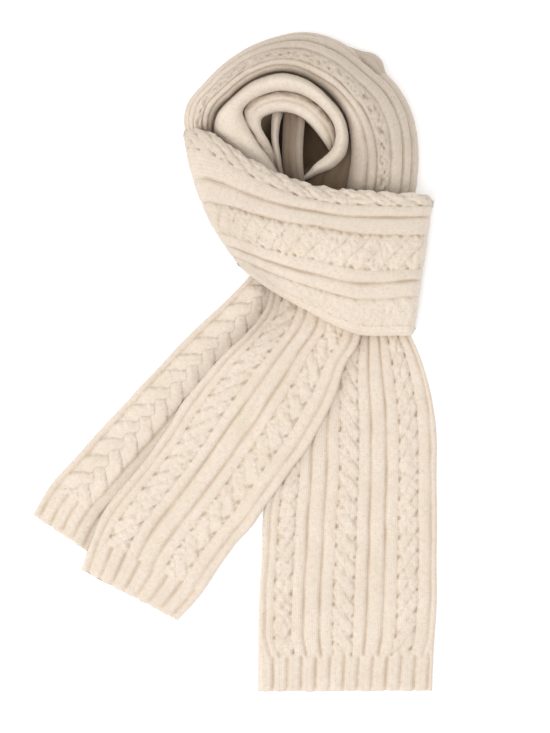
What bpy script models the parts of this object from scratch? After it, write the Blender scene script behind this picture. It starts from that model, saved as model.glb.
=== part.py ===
"""A knit scarf wound into a coil, with its two tails laid out flat on a table.

Every stretch of the strip that shows is a wall of cloth with its own name. The layers inside the
coil are one rounded solid. Lengths below are in millimetres, and meshes are written in metres.
The scarf lies on z = 0, with its hems towards -Y and its coil towards +Y.
"""

import math

import bmesh
import bpy
import numpy as np
from mathutils import Vector
from mathutils.bvhtree import BVHTree

MM = 0.001
CLOTH = 5.6  # thickness of the cable knit
SEAM = 0.3  # gap between neighbours
HEM = 46.0  # depth of the ribbed hems
ORIGIN = (0.1, 1.9)  # middle of the whole scarf's box, seen from above

WOOL = (0.80, 0.72, 0.61, 1.0)
SHADED_WOOL = (0.62, 0.54, 0.43, 1.0)

# Tails: each row is a knitted row of stitches, from its left edge to its right edge.
TAIL_COLUMNS = ("left_x", "left_y", "right_x", "right_y")
RIGHT_TAIL = (
    (109, 58, 206, 53),
    (81, 29, 222, 29),
    (52, -20, 241, -20),
    (45, -70, 250, -70),
    (41, -145, 252, -145),
    (35, -194, 252, -194),
    (33, -244, 252, -244),
    (30, -294, 252, -294),
    (29, -362, 248, -362),
    (29, -409, 246, -408),
)
LEFT_TAIL_FRONT = (
    (46, 100, 161, 52),
    (39, 72, 153, 24),
    (14, 39, 137, -4),
    (-11, 16, 126, -39),
    (-38, -14, 111, -70),
    (-63, -45, 92, -103),
    (-83, -77, 69, -134),
    (-100, -103, 45, -167),
    (-122, -132, 24, -197),
    (-146, -159, -1, -228),
    (-166, -188, -22, -257),
    (-179, -219, -42, -288),
    (-192, -257, -71, -320),
)
LEFT_TAIL_UNDER = (
    (29, 120, 84, 62),
    (18, 109, 72, 43),
    (-12, 79, 54, 14),
    (-44, 49, 31, -17),
    (-75, 18, 3, -47),
    (-106, -15, -29, -80),
    (-137, -49, -60, -113),
    (-168, -82, -90, -147),
    (-200, -117, -122, -185),
    (-231, -152, -151, -219),
    (-252, -188, -163, -248),
)

# Coil: each row is one section across a stretch. It starts at a foot on what lies below, bulges to
# its outer side, climbs to a ridge and rolls down its inner side. ridge_at is how far across the
# ridge lies, and bow is how far the section swells sideways in plan.
COIL_COLUMNS = ("outer_x", "outer_y", "inner_x", "inner_y", "foot", "ridge", "inner", "ridge_at", "bow")
ARCH_STEPS = 12  # points on each quarter of an arch
MOST_BULGE = 0.5  # of the height from foot to ridge
FALL_TO_ROLL = 1.1  # an arch falls a little more than its inner side is wide
INNER_TUCK = 0.3  # share of the tuck that the inner edge takes
ROLL_STEPS = 5  # sections in an end that rolls down
HEM_SECTIONS = 4
SHARP_EDGE = math.radians(50)
OUTLINE_SECTIONS = 40
OUTLINE_ACROSS = 8
OUTER_TURN = (
    (-63, 297, -39, 297, 0.5, 34, 16, 0.60, 0),
    (-60, 322, -28, 315, 0.5, 42, 16, 0.62, 0),
    (-39, 349, -10, 334, 0.5, 50, 16, 0.65, 0),
    (-1, 383, 19, 360, 0.5, 54, 16, 0.68, 0),
    (41, 404, 54, 371, 0.5, 56, 16, 0.70, 0),
    (84, 413, 87, 368, 0.5, 57, 16, 0.72, 0),
    (125, 404, 117, 349, 0.5, 57, 16, 0.75, 0),
    (163, 380, 138, 322, 0.5, 56, 16, 0.78, 0),
    (200, 349, 148, 300, 0.5, 54, 16, 0.80, 0),
    (220, 314, 152, 276, 0.5, 52, 16, 0.82, 0),
    (228, 273, 152, 252, 0.5, 50, 16, 0.82, 0),
    (228, 239, 147, 230, 0.5, 45, 16, 0.82, 0),
    (225, 215, 141, 208, 0.5, 38, 14, 0.80, 0),
    (216, 190, 141, 186, 0.5, 30, 12, 0.70, 0),
)
TURN_CORNER = (
    (146, 396, 149, 393, 0.5, 15, 8, 0.50, 0),
    (171, 391, 166.5, 382.3, 0.5, 24, 14, 0.50, 0),
    (186, 379, 182.4, 369.4, 0.5, 24, 14, 0.50, 0),
    (193, 363, 194, 358, 0.5, 15, 8, 0.50, 0),
)
MIDDLE_TURN = (
    (36, 226, 60, 232, 14, 31, 16, 0.55, 0),
    (8, 246, 44, 256, 15, 37, 18, 0.62, 0),
    (-12, 266, 30, 274, 15, 43, 20, 0.68, 0),
    (-25, 287, 19, 292, 16, 50, 22, 0.64, 0),
    (-22, 309, 11, 310, 18, 57, 24, 0.55, 0),
    (-3, 330, 19, 322, 18, 60, 26, 0.50, 0),
    (23, 350, 35, 331, 18, 61, 26, 0.50, 0),
    (57, 360, 57, 336, 18, 62, 26, 0.50, 0),
    (89, 352, 84, 331, 18, 62, 26, 0.50, 0),
    (116, 331, 107, 315, 18, 60, 26, 0.50, 0),
    (133, 306, 121, 296, 18, 58, 26, 0.50, 0),
    (139, 280, 124, 280, 18, 57, 26, 0.50, 0),
    (133, 260, 119, 269, 18, 55, 26, 0.50, 0),
    (116, 244, 105, 258, 18, 51, 24, 0.50, 0),
    (101, 237, 96, 251, 16, 45, 22, 0.50, 0),
    (91, 232, 89, 243, 16, 38, 20, 0.50, 0),
)
INNER_TURN = (
    (50, 252, 55, 256, 14, 28, 14, 0.50, 0),
    (39, 268, 46, 271, 14, 34, 14, 0.50, 0),
    (24, 297, 33, 297, 15, 42, 15, 0.55, 0),
    (27, 316, 39, 307, 16, 46, 16, 0.60, 0),
    (43, 326, 56, 311, 16, 48, 16, 0.65, 0),
    (68, 329, 77, 308, 14, 49, 14, 0.70, 0),
    (88, 322, 93, 298, 14, 48, 14, 0.70, 0),
    (107, 304, 104, 284, 14, 45, 14, 0.70, 0),
    (115, 288, 112, 275, 14, 39, 14, 0.60, 0),
)
CENTRE_FOLD_LEFT = (
    (49, 298, 58, 298, 13, 37, 13, 0.50, 0),
    (51, 278, 59, 278, 13, 36, 13, 0.50, 0),
    (64, 232, 70, 232, 13, 30, 13, 0.50, 0),
)
CENTRE_FOLD_RIGHT = (
    (62, 298, 84, 294, 13, 40, 13, 0.62, 0),
    (63, 278, 84, 276, 13, 40, 13, 0.62, 0),
    (69, 250, 85, 248, 13, 38, 13, 0.62, 0),
    (73, 222, 86, 222, 13, 34, 13, 0.60, 0),
)
LOWER_FOLD = (
    (140, 250, 130, 240, 13, 30, 13, 0.50, 0),
    (140, 230, 112, 226, 13, 30, 13, 0.50, 0),
    (137, 212, 94, 214, 13, 30, 13, 0.50, 0),
)
FRONT_BAND = (
    (15, 112, -63, 292, 7, 34, 12, 0.55, 17.5),
    (34, 96, -35, 286, 13, 52, 38, 0.72, 13.8),
    (61, 76, 13, 257, 13, 66, 48, 0.76, 10.0),
    (91, 61, 68, 229, 13, 72, 52, 0.80, 5.0),
    (120, 46, 119, 216, 13, 71, 46, 0.82, 0),
    (156, 36, 162, 213, 13, 66, 50, 0.84, 0),
    (193, 35, 204, 209, 7, 57, 48, 0.84, 0),
    (220, 35, 244, 208, 7, 44, 34, 0.80, 0),
)

# Outline of the hidden layers where they rest, around CORE_CENTRE.
CORE_CENTRE = (100, 224)
CORE_COLUMNS = ("degrees", "reach")
CORE_OUTLINE = (
    (9, 108),
    (27, 116),
    (57, 142),
    (86, 162),
    (114, 166),
    (140, 164),
    (155, 152),
    (186, 120),
    (223, 104),
    (267, 108),
    (301, 150),
    (322, 136),
    (343, 104),
)
HOLLOW_FLOOR = 11.0
CORE_TOP = 70.0
BAND_ONLY_Y = 160.0  # below this line only the front band covers the hidden layers
BAND_REACH = 4.0  # how far round a point they stay clear of the smooth band
TURNS_REACH = 15.0  # and of the steep turns


def columns(rows, names):
    """The table's columns by name."""
    table = np.array(rows, float)
    return {name: table[:, i] for i, name in enumerate(names)}


def smooth_columns(table, knots, at):
    """Each column as a smooth curve through its rows, read at the distances given."""
    last = len(knots) - 2
    span = np.clip(np.searchsorted(knots, at, side="right") - 1, 0, last)
    length = (knots[1:] - knots[:-1])[span]
    t = (at - knots[span]) / length
    found = {}
    for name, values in table.items():
        slope = np.gradient(values, knots)
        start = slope[span] * length
        end = slope[span + 1] * length
        found[name] = (
            values[span] * (2 * t**3 - 3 * t**2 + 1)
            + start * (t**3 - 2 * t**2 + t)
            + values[span + 1] * (3 * t**2 - 2 * t**3)
            + end * (t**3 - t**2)
        )
    return found


def path_knots(first, second):
    """Distance along the middle of a stretch, from its two edges."""
    middle = (first + second) / 2
    steps = np.hypot(*np.diff(middle, axis=0).T)
    return np.concatenate([[0.0], np.cumsum(steps)])


def new_piece(name, mesh_builder, color):
    """An object from a bmesh, closed and facing outwards, with its own material."""
    if mesh_builder.calc_volume(signed=True) < 0:
        bmesh.ops.reverse_faces(mesh_builder, faces=mesh_builder.faces)
    mesh = bpy.data.meshes.new(name)
    mesh_builder.to_mesh(mesh)
    mesh_builder.free()
    mesh.shade_smooth()
    mesh.set_sharp_from_angle(angle=SHARP_EDGE)
    material = bpy.data.materials.new(name + "_wool")
    material.use_nodes = True
    shader = material.node_tree.nodes["Principled BSDF"]
    shader.inputs["Base Color"].default_value = color
    shader.inputs["Roughness"].default_value = 0.95
    shader.inputs["Metallic"].default_value = 0.0
    mesh.materials.append(material)
    piece = bpy.data.objects.new(name, mesh)
    bpy.context.scene.collection.objects.link(piece)
    return piece


def wall(name, top, bottom, color=WOOL):
    """A closed wall between two grids of points, each [along, across, xyz] in millimetres."""
    builder = bmesh.new()
    rows, across = top.shape[:2]
    sides = []
    for grid in (top, bottom):
        shifted = (grid - (*ORIGIN, 0.0)) * MM
        sides.append([[builder.verts.new(point) for point in row] for row in shifted])
    upper, lower = sides
    for i in range(rows - 1):
        for j in range(across - 1):
            builder.faces.new((upper[i][j], upper[i + 1][j], upper[i + 1][j + 1], upper[i][j + 1]))
            builder.faces.new((lower[i][j], lower[i][j + 1], lower[i + 1][j + 1], lower[i + 1][j]))
    rim = [(i, 0) for i in range(rows)]
    rim += [(rows - 1, j) for j in range(1, across)]
    rim += [(i, across - 1) for i in range(rows - 2, -1, -1)]
    rim += [(0, j) for j in range(across - 2, 0, -1)]
    for (i, j), (k, m) in zip(rim, rim[1:] + rim[:1]):
        builder.faces.new((upper[k][m], upper[i][j], lower[i][j], lower[k][m]))
    return new_piece(name, builder, color)


def grid_normals(grid):
    """Unit normals of a grid of points, pointing away from the table or from the coil's middle."""
    along = np.gradient(grid, axis=0)
    across = np.gradient(grid, axis=1)
    normal = np.cross(across, along)
    normal /= np.linalg.norm(normal, axis=2, keepdims=True)
    if normal[..., 2].sum() < 0:
        normal = -normal
    return normal


def tail_plan(rows, stations, across):
    """Plan points of a tail, [along, across, xy], at the distances given."""
    table = columns(rows, TAIL_COLUMNS)
    left = np.stack([table["left_x"], table["left_y"]], axis=1)
    right = np.stack([table["right_x"], table["right_y"]], axis=1)
    knots = path_knots(left, right)
    found = smooth_columns(table, knots, stations)
    share = np.linspace(0.0, 1.0, across + 1)
    x = found["left_x"][:, None] * (1 - share) + found["right_x"][:, None] * share
    y = found["left_y"][:, None] * (1 - share) + found["right_y"][:, None] * share
    return np.stack([x, y], axis=2)


def tail_length(rows):
    table = columns(rows, TAIL_COLUMNS)
    left = np.stack([table["left_x"], table["left_y"]], axis=1)
    right = np.stack([table["right_x"], table["right_y"]], axis=1)
    return path_knots(left, right)[-1]


def outline_of(plan):
    """The closed outline of a plan grid."""
    return np.concatenate([plan[:, 0], plan[-1, 1:], plan[-2::-1, -1], plan[0, -2:0:-1]])


def depth_inside(points, outline):
    """How far each point lies inside a closed outline, and negative outside it."""
    flat = points.reshape(-1, 2)
    start = outline
    end = np.roll(outline, -1, axis=0)
    run = end - start
    to_point = flat[:, None] - start[None]
    share = np.clip((to_point * run).sum(2) / (run**2).sum(1), 0, 1)
    gap = np.linalg.norm(to_point - share[..., None] * run, axis=2).min(axis=1)
    above = (start[:, 1] > flat[:, None, 1]) != (end[:, 1] > flat[:, None, 1])
    rise = np.where(run[:, 1] == 0, 1e-9, run[:, 1])
    crossing = start[:, 0] + (flat[:, None, 1] - start[:, 1]) * run[:, 0] / rise
    inside = (above & (flat[:, None, 0] < crossing)).sum(1) % 2 == 1
    return np.where(inside, gap, -gap).reshape(points.shape[:2])


def lift_over(plan, outlines, clear=24.0, slope=26.0):
    """Height that cloth gains where it lies over other cloth: full height from `clear` outside it."""
    lift = np.zeros(plan.shape[:2])
    for outline in outlines:
        share = np.clip((depth_inside(plan, outline) + clear + slope) / slope, 0, 1)
        lift = np.maximum(lift, share * share * (3 - 2 * share))
    return lift * (CLOTH + SEAM)


def tail(name, rows, along, across, over=()):
    """A tail laid on the table, as a body and its hem, which starts a seam's gap further on."""
    length = tail_length(rows)
    ranges = (
        (name, np.linspace(0, length - HEM, along + 1)),
        (name + "_hem", np.linspace(length - HEM + SEAM, length, HEM_SECTIONS)),
    )
    for part, stations in ranges:
        plan = tail_plan(rows, stations, across)
        rest = lift_over(plan, over)
        bottom = np.concatenate([plan, rest[..., None]], axis=2)
        wall(part, bottom + (0, 0, CLOTH), bottom)


def arch_section(width, foot, ridge, inner, ridge_at, bulge, tuck, samples):
    """Heights and distances across one coiled section, evenly spaced along the cloth."""
    quarter = np.linspace(0, math.pi / 2, ARCH_STEPS)
    reach = ridge_at * width
    roll = width - reach
    bulge = min(bulge, (ridge - foot) * MOST_BULGE)
    fall = min(roll * FALL_TO_ROLL, ridge - inner - 1)
    h = [tuck * (1 - np.sin(quarter)), reach * (1 - np.cos(quarter)), reach + roll * np.sin(quarter)]
    z = [
        foot + bulge * (1 - np.cos(quarter)),
        foot + bulge + (ridge - foot - bulge) * np.sin(quarter),
        ridge - fall * (1 - np.cos(quarter)),
    ]
    h = np.concatenate(h + [[width - tuck * INNER_TUCK]])
    z = np.concatenate(z + [[inner]])
    steps = np.concatenate([[0.0], np.cumsum(np.hypot(np.diff(h), np.diff(z)))])
    even = np.linspace(0, steps[-1], samples + 1)
    return np.interp(even, steps, h), np.interp(even, steps, z)


def end_roll(stations, length, start_roll, finish_roll):
    """How much of its height a stretch keeps near an end that rolls down to its foot."""
    keep = np.ones_like(stations)
    for radius, distance in ((start_roll, stations), (finish_roll, length - stations)):
        if radius:
            away = np.clip(1 - distance / radius, 0, 1)
            keep = np.minimum(keep, np.sqrt(1 - away**2))
    return keep


def coil_grid(rows, along, across, bulge=9.0, tuck=4.0, start_roll=0.0, finish_roll=0.0):
    """Points on the upper face of a coiled stretch, [along, across, xyz]."""
    table = columns(rows, COIL_COLUMNS)
    outer = np.stack([table["outer_x"], table["outer_y"]], axis=1)
    inner = np.stack([table["inner_x"], table["inner_y"]], axis=1)
    knots = path_knots(outer, inner)
    length = knots[-1]
    turn = np.linspace(0, math.pi / 2, ROLL_STEPS)
    stations = np.linspace(start_roll, length - finish_roll, along + 1)
    if start_roll:
        stations = np.concatenate([start_roll * (1 - np.cos(turn[:-1])), stations])
    if finish_roll:
        stations = np.concatenate([stations, length - finish_roll * (1 - np.cos(turn[-2::-1]))])
    found = smooth_columns(table, knots, stations)
    keep = end_roll(stations, length, start_roll, finish_roll)
    grid = []
    for i in range(len(stations)):
        start = np.array([found["outer_x"][i], found["outer_y"][i]])
        end = np.array([found["inner_x"][i], found["inner_y"][i]])
        width = np.linalg.norm(end - start)
        toward = (end - start) / width
        aside = np.array([-toward[1], toward[0]])
        sizes = [found[name][i] for name in ("foot", "ridge", "inner", "ridge_at")]
        h, z = arch_section(width, *sizes, bulge, tuck, across)
        share = h / width
        swell = found["bow"][i] * 4 * share * (1 - share)
        plan = start + toward * h[:, None] + aside * swell[:, None]
        height = found["foot"][i] + (z - found["foot"][i]) * keep[i]
        grid.append(np.column_stack([plan, height]))
    return np.array(grid)


def coil(name, rows, along, across, cloth=CLOTH, color=WOOL, **shape):
    """A coiled stretch as a wall of cloth."""
    top = coil_grid(rows, along, across, **shape)
    return wall(name, top, top - grid_normals(top) * cloth, color)


def core_height(trees, x, y, margin=0.4):
    """Highest level at a point that stays clear under every stretch close by."""
    level = CORE_TOP
    covered = False
    spread = BAND_REACH if y < BAND_ONLY_Y else TURNS_REACH
    for ring, count in ((0.0, 1), (spread / 3, 8), (spread * 2 / 3, 12), (spread, 16)):
        for k in range(count):
            angle = 2 * math.pi * k / count
            spot = Vector((x + ring * math.cos(angle), y + ring * math.sin(angle), 0.2)) * MM
            for tree in trees:
                hit = tree.ray_cast(spot, Vector((0, 0, 1)))
                if hit[0] is not None:
                    level = min(level, hit[0].z / MM - margin)
                    covered = covered or ring == 0.0
    return level if covered else min(level, HOLLOW_FLOOR)


def hidden_layers(pieces, spokes=44, rings=12):
    """One rounded solid for the folded layers inside the coil, close under what covers them."""
    table = columns(CORE_OUTLINE, CORE_COLUMNS)
    trees = []
    for piece in pieces:
        builder = bmesh.new()
        builder.from_mesh(piece.data)
        trees.append(BVHTree.FromBMesh(builder))
        builder.free()
    builder = bmesh.new()
    centre_x = CORE_CENTRE[0] - ORIGIN[0]
    centre_y = CORE_CENTRE[1] - ORIGIN[1]
    levels = []
    for k in range(spokes):
        degrees = 360 * k / spokes
        reach = np.interp(degrees, table["degrees"], table["reach"], period=360)
        angle = math.radians(degrees)
        spoke = []
        for ring in range(1, rings + 1):
            x = centre_x + reach * ring / rings * math.cos(angle)
            y = centre_y + reach * ring / rings * math.sin(angle)
            spoke.append((x, y, core_height(trees, x, y)))
        levels.append(spoke)
    top = [[builder.verts.new(Vector(point) * MM) for point in spoke] for spoke in levels]
    foot = [builder.verts.new(Vector((spoke[-1][0], spoke[-1][1], 0)) * MM) for spoke in levels]
    centre_z = core_height(trees, centre_x, centre_y)
    summit = builder.verts.new(Vector((centre_x, centre_y, centre_z)) * MM)
    for k in range(spokes):
        here, beyond = top[k], top[(k + 1) % spokes]
        builder.faces.new((summit, here[0], beyond[0]))
        for ring in range(rings - 1):
            builder.faces.new((here[ring], here[ring + 1], beyond[ring + 1], beyond[ring]))
        builder.faces.new((here[-1], foot[k], foot[(k + 1) % spokes], beyond[-1]))
    builder.faces.new(foot[::-1])
    return new_piece("hidden_layers", builder, SHADED_WOOL)


def build():
    for old in list(bpy.data.objects):
        bpy.data.objects.remove(old, do_unlink=True)
    under_outlines = []
    for rows in (RIGHT_TAIL, LEFT_TAIL_UNDER):
        sections = np.linspace(0, tail_length(rows), OUTLINE_SECTIONS)
        under_outlines.append(outline_of(tail_plan(rows, sections, OUTLINE_ACROSS)))
    tail("right_tail", RIGHT_TAIL, 16, 10)
    tail("left_tail_under", LEFT_TAIL_UNDER, 14, 5)
    tail("left_tail_front", LEFT_TAIL_FRONT, 22, 11, over=under_outlines)
    covers = [
        coil("outer_turn", OUTER_TURN, 30, 12),
        coil("turn_corner", TURN_CORNER, 5, 6, cloth=2.5, bulge=5.0, tuck=1.0),
        coil("middle_turn", MIDDLE_TURN, 32, 9, cloth=4.0, tuck=1.5),
        coil("inner_turn", INNER_TURN, 14, 8, cloth=3.0, tuck=1.0),
        coil("centre_fold_left", CENTRE_FOLD_LEFT, 6, 8, cloth=2.4, tuck=0.5),
        coil("centre_fold_right", CENTRE_FOLD_RIGHT, 7, 9, cloth=3.5, tuck=0.5),
        coil("lower_fold", LOWER_FOLD, 5, 8, cloth=4.0, tuck=1.0),
        coil("front_band", FRONT_BAND, 14, 14, start_roll=28.0, finish_roll=15.0),
    ]
    hidden_layers(covers)


build()
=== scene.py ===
# %% [markdown]
# # A cable-knit scarf, wound into a coil and laid on a table
#
# The real scarf is one long strip of thick cream wool, knitted with cables and ribs, with a ribbed
# hem at each end. Here it lies wound: two tails fan out below, a broad band crosses the front of
# the coil, and the turns behind it roll inwards like the petals of a rose.
#
# Knit is hard to fake with one texture, because its ribs and cables are as deep as the cloth is
# thick. So this lesson charts the knitting as a hand-knitter would, column by column, and raises
# each chart out of the cloth as real relief. Only the single stitches, half a millimetre deep,
# are left to a bump in the material, and loose wool fibres are scattered by Geometry Nodes.

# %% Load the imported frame
import math

import bmesh
import bpy
import numpy as np
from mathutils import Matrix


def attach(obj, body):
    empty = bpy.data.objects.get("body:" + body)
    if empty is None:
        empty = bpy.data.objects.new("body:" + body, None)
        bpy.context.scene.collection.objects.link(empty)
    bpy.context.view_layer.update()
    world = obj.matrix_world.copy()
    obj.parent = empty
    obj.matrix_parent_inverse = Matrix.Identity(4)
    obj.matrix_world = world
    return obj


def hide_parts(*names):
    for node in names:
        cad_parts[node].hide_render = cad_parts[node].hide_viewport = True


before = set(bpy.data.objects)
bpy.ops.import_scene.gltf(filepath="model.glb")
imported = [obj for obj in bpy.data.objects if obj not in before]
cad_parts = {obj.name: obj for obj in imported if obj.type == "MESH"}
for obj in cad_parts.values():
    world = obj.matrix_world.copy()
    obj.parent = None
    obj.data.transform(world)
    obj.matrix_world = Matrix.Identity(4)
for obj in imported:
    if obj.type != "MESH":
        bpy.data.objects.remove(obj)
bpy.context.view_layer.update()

MM = 0.001
CLOTH = 5.6  # thickness of the knit, in millimetres like every length in the tables
SEAM = 0.3
HEM = 46.0
ORIGIN = (0.1, 1.9)  # middle of the scarf's footprint in the tables' own frame

# %% [markdown]
# ## The lie of the cloth
#
# Each stretch of the strip is given by a short table. A tail has a row for each of its sections,
# from the left edge to the right edge. A turn of the coil has a row for each cross-section: where
# its outer and inner sides lie, how high its foot, its ridge and its inner edge are, and how far
# across the ridge lies. The tables follow the CAD solids to within a few millimetres, and the turns
# reach a little further, as soft cloth does where it meets the next turn.

# %% Tables of the tails
TAIL_COLUMNS = ("left_x", "left_y", "right_x", "right_y")
RIGHT_TAIL = (
    (109, 58, 206, 53),
    (81, 29, 222, 29),
    (52, -20, 241, -20),
    (45, -70, 250, -70),
    (41, -145, 252, -145),
    (35, -194, 252, -194),
    (33, -244, 252, -244),
    (30, -294, 252, -294),
    (29, -362, 248, -362),
    (29, -409, 246, -408),
)
LEFT_TAIL_FRONT = (
    (46, 100, 161, 52),
    (39, 72, 153, 24),
    (14, 39, 137, -4),
    (-11, 16, 126, -39),
    (-38, -14, 111, -70),
    (-63, -45, 92, -103),
    (-83, -77, 69, -134),
    (-100, -103, 45, -167),
    (-122, -132, 24, -197),
    (-146, -159, -1, -228),
    (-166, -188, -22, -257),
    (-179, -219, -42, -288),
    (-192, -257, -71, -320),
)
LEFT_TAIL_UNDER = (
    (29, 120, 84, 62),
    (18, 109, 72, 43),
    (-12, 79, 54, 14),
    (-44, 49, 31, -17),
    (-75, 18, 3, -47),
    (-106, -15, -29, -80),
    (-137, -49, -60, -113),
    (-168, -82, -90, -147),
    (-200, -117, -122, -185),
    (-231, -152, -151, -219),
    (-252, -188, -163, -248),
)
print("sections of the tails", len(RIGHT_TAIL), len(LEFT_TAIL_FRONT), len(LEFT_TAIL_UNDER))

# %% Tables of the coil
COIL_COLUMNS = ("outer_x", "outer_y", "inner_x", "inner_y", "foot", "ridge", "inner", "ridge_at", "bow")
OUTER_TURN = (
    (-44, 252, -26, 260, 0.5, 11, 9, 0.60, 0),
    (-55, 276, -38, 280, 0.5, 24, 14, 0.60, 0),
    (-63, 297, -39, 297, 0.5, 34, 16, 0.60, 0),
    (-60, 322, -28, 315, 0.5, 42, 16, 0.62, 0),
    (-39, 349, -10, 334, 0.5, 50, 16, 0.65, 0),
    (-1, 383, 19, 360, 0.5, 54, 16, 0.68, 0),
    (41, 404, 54, 371, 0.5, 56, 16, 0.70, 0),
    (84, 413, 87, 368, 0.5, 57, 16, 0.72, 0),
    (125, 404, 117, 349, 0.5, 57, 16, 0.75, 0),
    (163, 380, 138, 322, 0.5, 56, 16, 0.78, 0),
    (200, 349, 148, 300, 0.5, 54, 16, 0.80, 0),
    (220, 314, 152, 276, 0.5, 52, 16, 0.82, 0),
    (228, 273, 152, 252, 0.5, 50, 16, 0.82, 0),
    (228, 239, 147, 230, 0.5, 45, 16, 0.82, 0),
    (225, 215, 141, 208, 0.5, 38, 14, 0.80, 0),
    (216, 190, 141, 186, 0.5, 30, 12, 0.70, 0),
)
TURN_CORNER = (
    (134, 399, 130, 389, 0.5, 20, 18, 0.60, 0),
    (157, 391, 148, 376, 0.5, 27, 25, 0.60, 0),
    (175, 386, 162, 366, 0.5, 31, 28, 0.60, 0),
    (184, 377, 172, 356, 0.5, 31, 28, 0.60, 0),
    (188, 364, 179, 346, 0.5, 27, 25, 0.60, 0),
    (199, 349, 190, 338, 0.5, 18, 15, 0.60, 0),
)
MIDDLE_TURN = (
    (36, 226, 60, 232, 14, 31, 16, 0.55, 0),
    (8, 246, 44, 256, 15, 37, 18, 0.62, 0),
    (-12, 266, 30, 274, 15, 43, 20, 0.68, 0),
    (-25, 287, 19, 292, 16, 50, 22, 0.64, 0),
    (-22, 309, 11, 310, 18, 57, 24, 0.55, 0),
    (-3, 330, 19, 322, 18, 60, 26, 0.50, 0),
    (23, 350, 35, 331, 18, 61, 26, 0.50, 0),
    (57, 360, 57, 336, 18, 62, 26, 0.50, 0),
    (89, 352, 84, 331, 18, 62, 26, 0.50, 0),
    (116, 331, 107, 315, 18, 60, 26, 0.50, 0),
    (135, 307, 121, 296, 18, 58, 26, 0.50, 0),
    (142, 280, 124, 280, 18, 57, 26, 0.50, 0),
    (138, 259, 120, 266, 18, 55, 26, 0.50, 0),
    (121, 242, 108, 254, 18, 51, 24, 0.50, 0),
    (104, 235, 98, 246, 16, 45, 22, 0.50, 0),
    (92, 229, 91, 238, 16, 36, 20, 0.50, 0),
    (80, 224, 83, 232, 15, 27, 18, 0.50, 0),
)
INNER_TURN = (
    (50, 236, 60, 240, 14, 22, 14, 0.50, 0),
    (40, 256, 51, 260, 14, 30, 14, 0.50, 0),
    (28, 272, 43, 276, 14, 37, 14, 0.50, 0),
    (16, 291, 34, 292, 15, 43, 15, 0.55, 0),
    (8, 311, 34, 303, 16, 46, 16, 0.60, 0),
    (18, 327, 41, 308, 16, 47, 16, 0.62, 0),
    (34, 336, 51, 311, 16, 48, 16, 0.65, 0),
    (57, 341, 64, 311, 15, 49, 14, 0.68, 0),
    (86, 335, 79, 306, 14, 49, 14, 0.70, 0),
    (110, 318, 93, 296, 14, 48, 14, 0.70, 0),
    (125, 298, 104, 283, 14, 45, 14, 0.70, 0),
    (128, 281, 112, 272, 14, 37, 14, 0.60, 0),
    (127, 268, 117, 264, 13, 26, 13, 0.50, 0),
)
CENTRE_FOLD_LEFT = (
    (46, 316, 62, 315, 13, 31, 13, 0.50, 0),
    (45, 298, 57, 298, 13, 37, 13, 0.50, 0),
    (45, 278, 55, 278, 13, 36, 13, 0.50, 0),
    (49, 255, 58, 255, 13, 33, 13, 0.50, 0),
    (54, 236, 61, 236, 13, 30, 13, 0.50, 0),
    (58, 218, 65, 218, 13, 28, 13, 0.50, 0),
)
CENTRE_FOLD_RIGHT = (
    (61, 318, 88, 314, 13, 33, 13, 0.72, 0),
    (60, 298, 87, 297, 13, 40, 13, 0.74, 0),
    (59, 278, 85, 277, 13, 40, 13, 0.74, 0),
    (59, 250, 85, 249, 13, 38, 13, 0.74, 0),
    (62, 220, 87, 220, 13, 34, 13, 0.70, 0),
)
LOWER_FOLD = (
    (150, 296, 140, 292, 13, 24, 13, 0.50, 0),
    (150, 270, 130, 268, 13, 27, 13, 0.50, 0),
    (148, 248, 106, 248, 13, 29, 13, 0.50, 0),
    (145, 228, 88, 232, 13, 30, 13, 0.50, 0),
    (141, 208, 84, 214, 13, 30, 13, 0.50, 0),
)
FRONT_BAND = (
    (15, 112, -65, 297, 7, 38, 20, 0.60, 17.0),
    (35, 98, -36, 289, 13, 52, 38, 0.72, 13.0),
    (62, 81, 13, 257, 13, 66, 48, 0.76, 9.5),
    (92, 65, 68, 229, 13, 72, 52, 0.80, 5.0),
    (121, 49, 119, 216, 13, 71, 46, 0.82, 0),
    (156, 36, 162, 213, 13, 66, 50, 0.84, 0),
    (194, 35, 205, 210, 7, 57, 48, 0.84, 0),
    (223, 35, 248, 210, 7, 44, 34, 0.80, 0),
)
print("sections of the outer turn", len(OUTER_TURN), "and of the front band", len(FRONT_BAND))

# %% The outer turn leans in
LEAN = (7, 10, 12, 6.2, 5.8, 8.8, 9.4, 13, 12.5, 9.8, 9.2, 9, 9, 8, 7, 7)  # a reach for each row


def leaning_in(rows, reaches):
    """A turn whose inner edge reaches further, until it nearly touches the next turn."""
    leant = []
    for row, reach in zip(rows, reaches):
        x, y, to_x, to_y, foot, ridge, inner, ridge_at, bow = row
        width = math.hypot(to_x - x, to_y - y)
        grow = (width + reach) / width
        reached = (x + (to_x - x) * grow, y + (to_y - y) * grow)
        leant.append((x, y, *reached, foot, ridge, inner, ridge_at / grow, bow))
    return tuple(leant)


print("the outer turn reaches in by", min(LEAN), "to", max(LEAN), "mm")

# %% Smooth curves through the rows
def columns(rows, names):
    """The table's columns by name."""
    table = np.array(rows, float)
    return {name: table[:, i] for i, name in enumerate(names)}


def smooth_columns(table, knots, at):
    """Each column as a smooth curve through its rows, read at the distances given."""
    span = np.clip(np.searchsorted(knots, at, side="right") - 1, 0, len(knots) - 2)
    length = (knots[1:] - knots[:-1])[span]
    t = (at - knots[span]) / length
    found = {}
    for name, values in table.items():
        slope = np.gradient(values, knots)
        start = slope[span] * length
        end = slope[span + 1] * length
        found[name] = (
            values[span] * (2 * t**3 - 3 * t**2 + 1)
            + start * (t**3 - 2 * t**2 + t)
            + values[span + 1] * (3 * t**2 - 2 * t**3)
            + end * (t**3 - t**2)
        )
    return found


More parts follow.
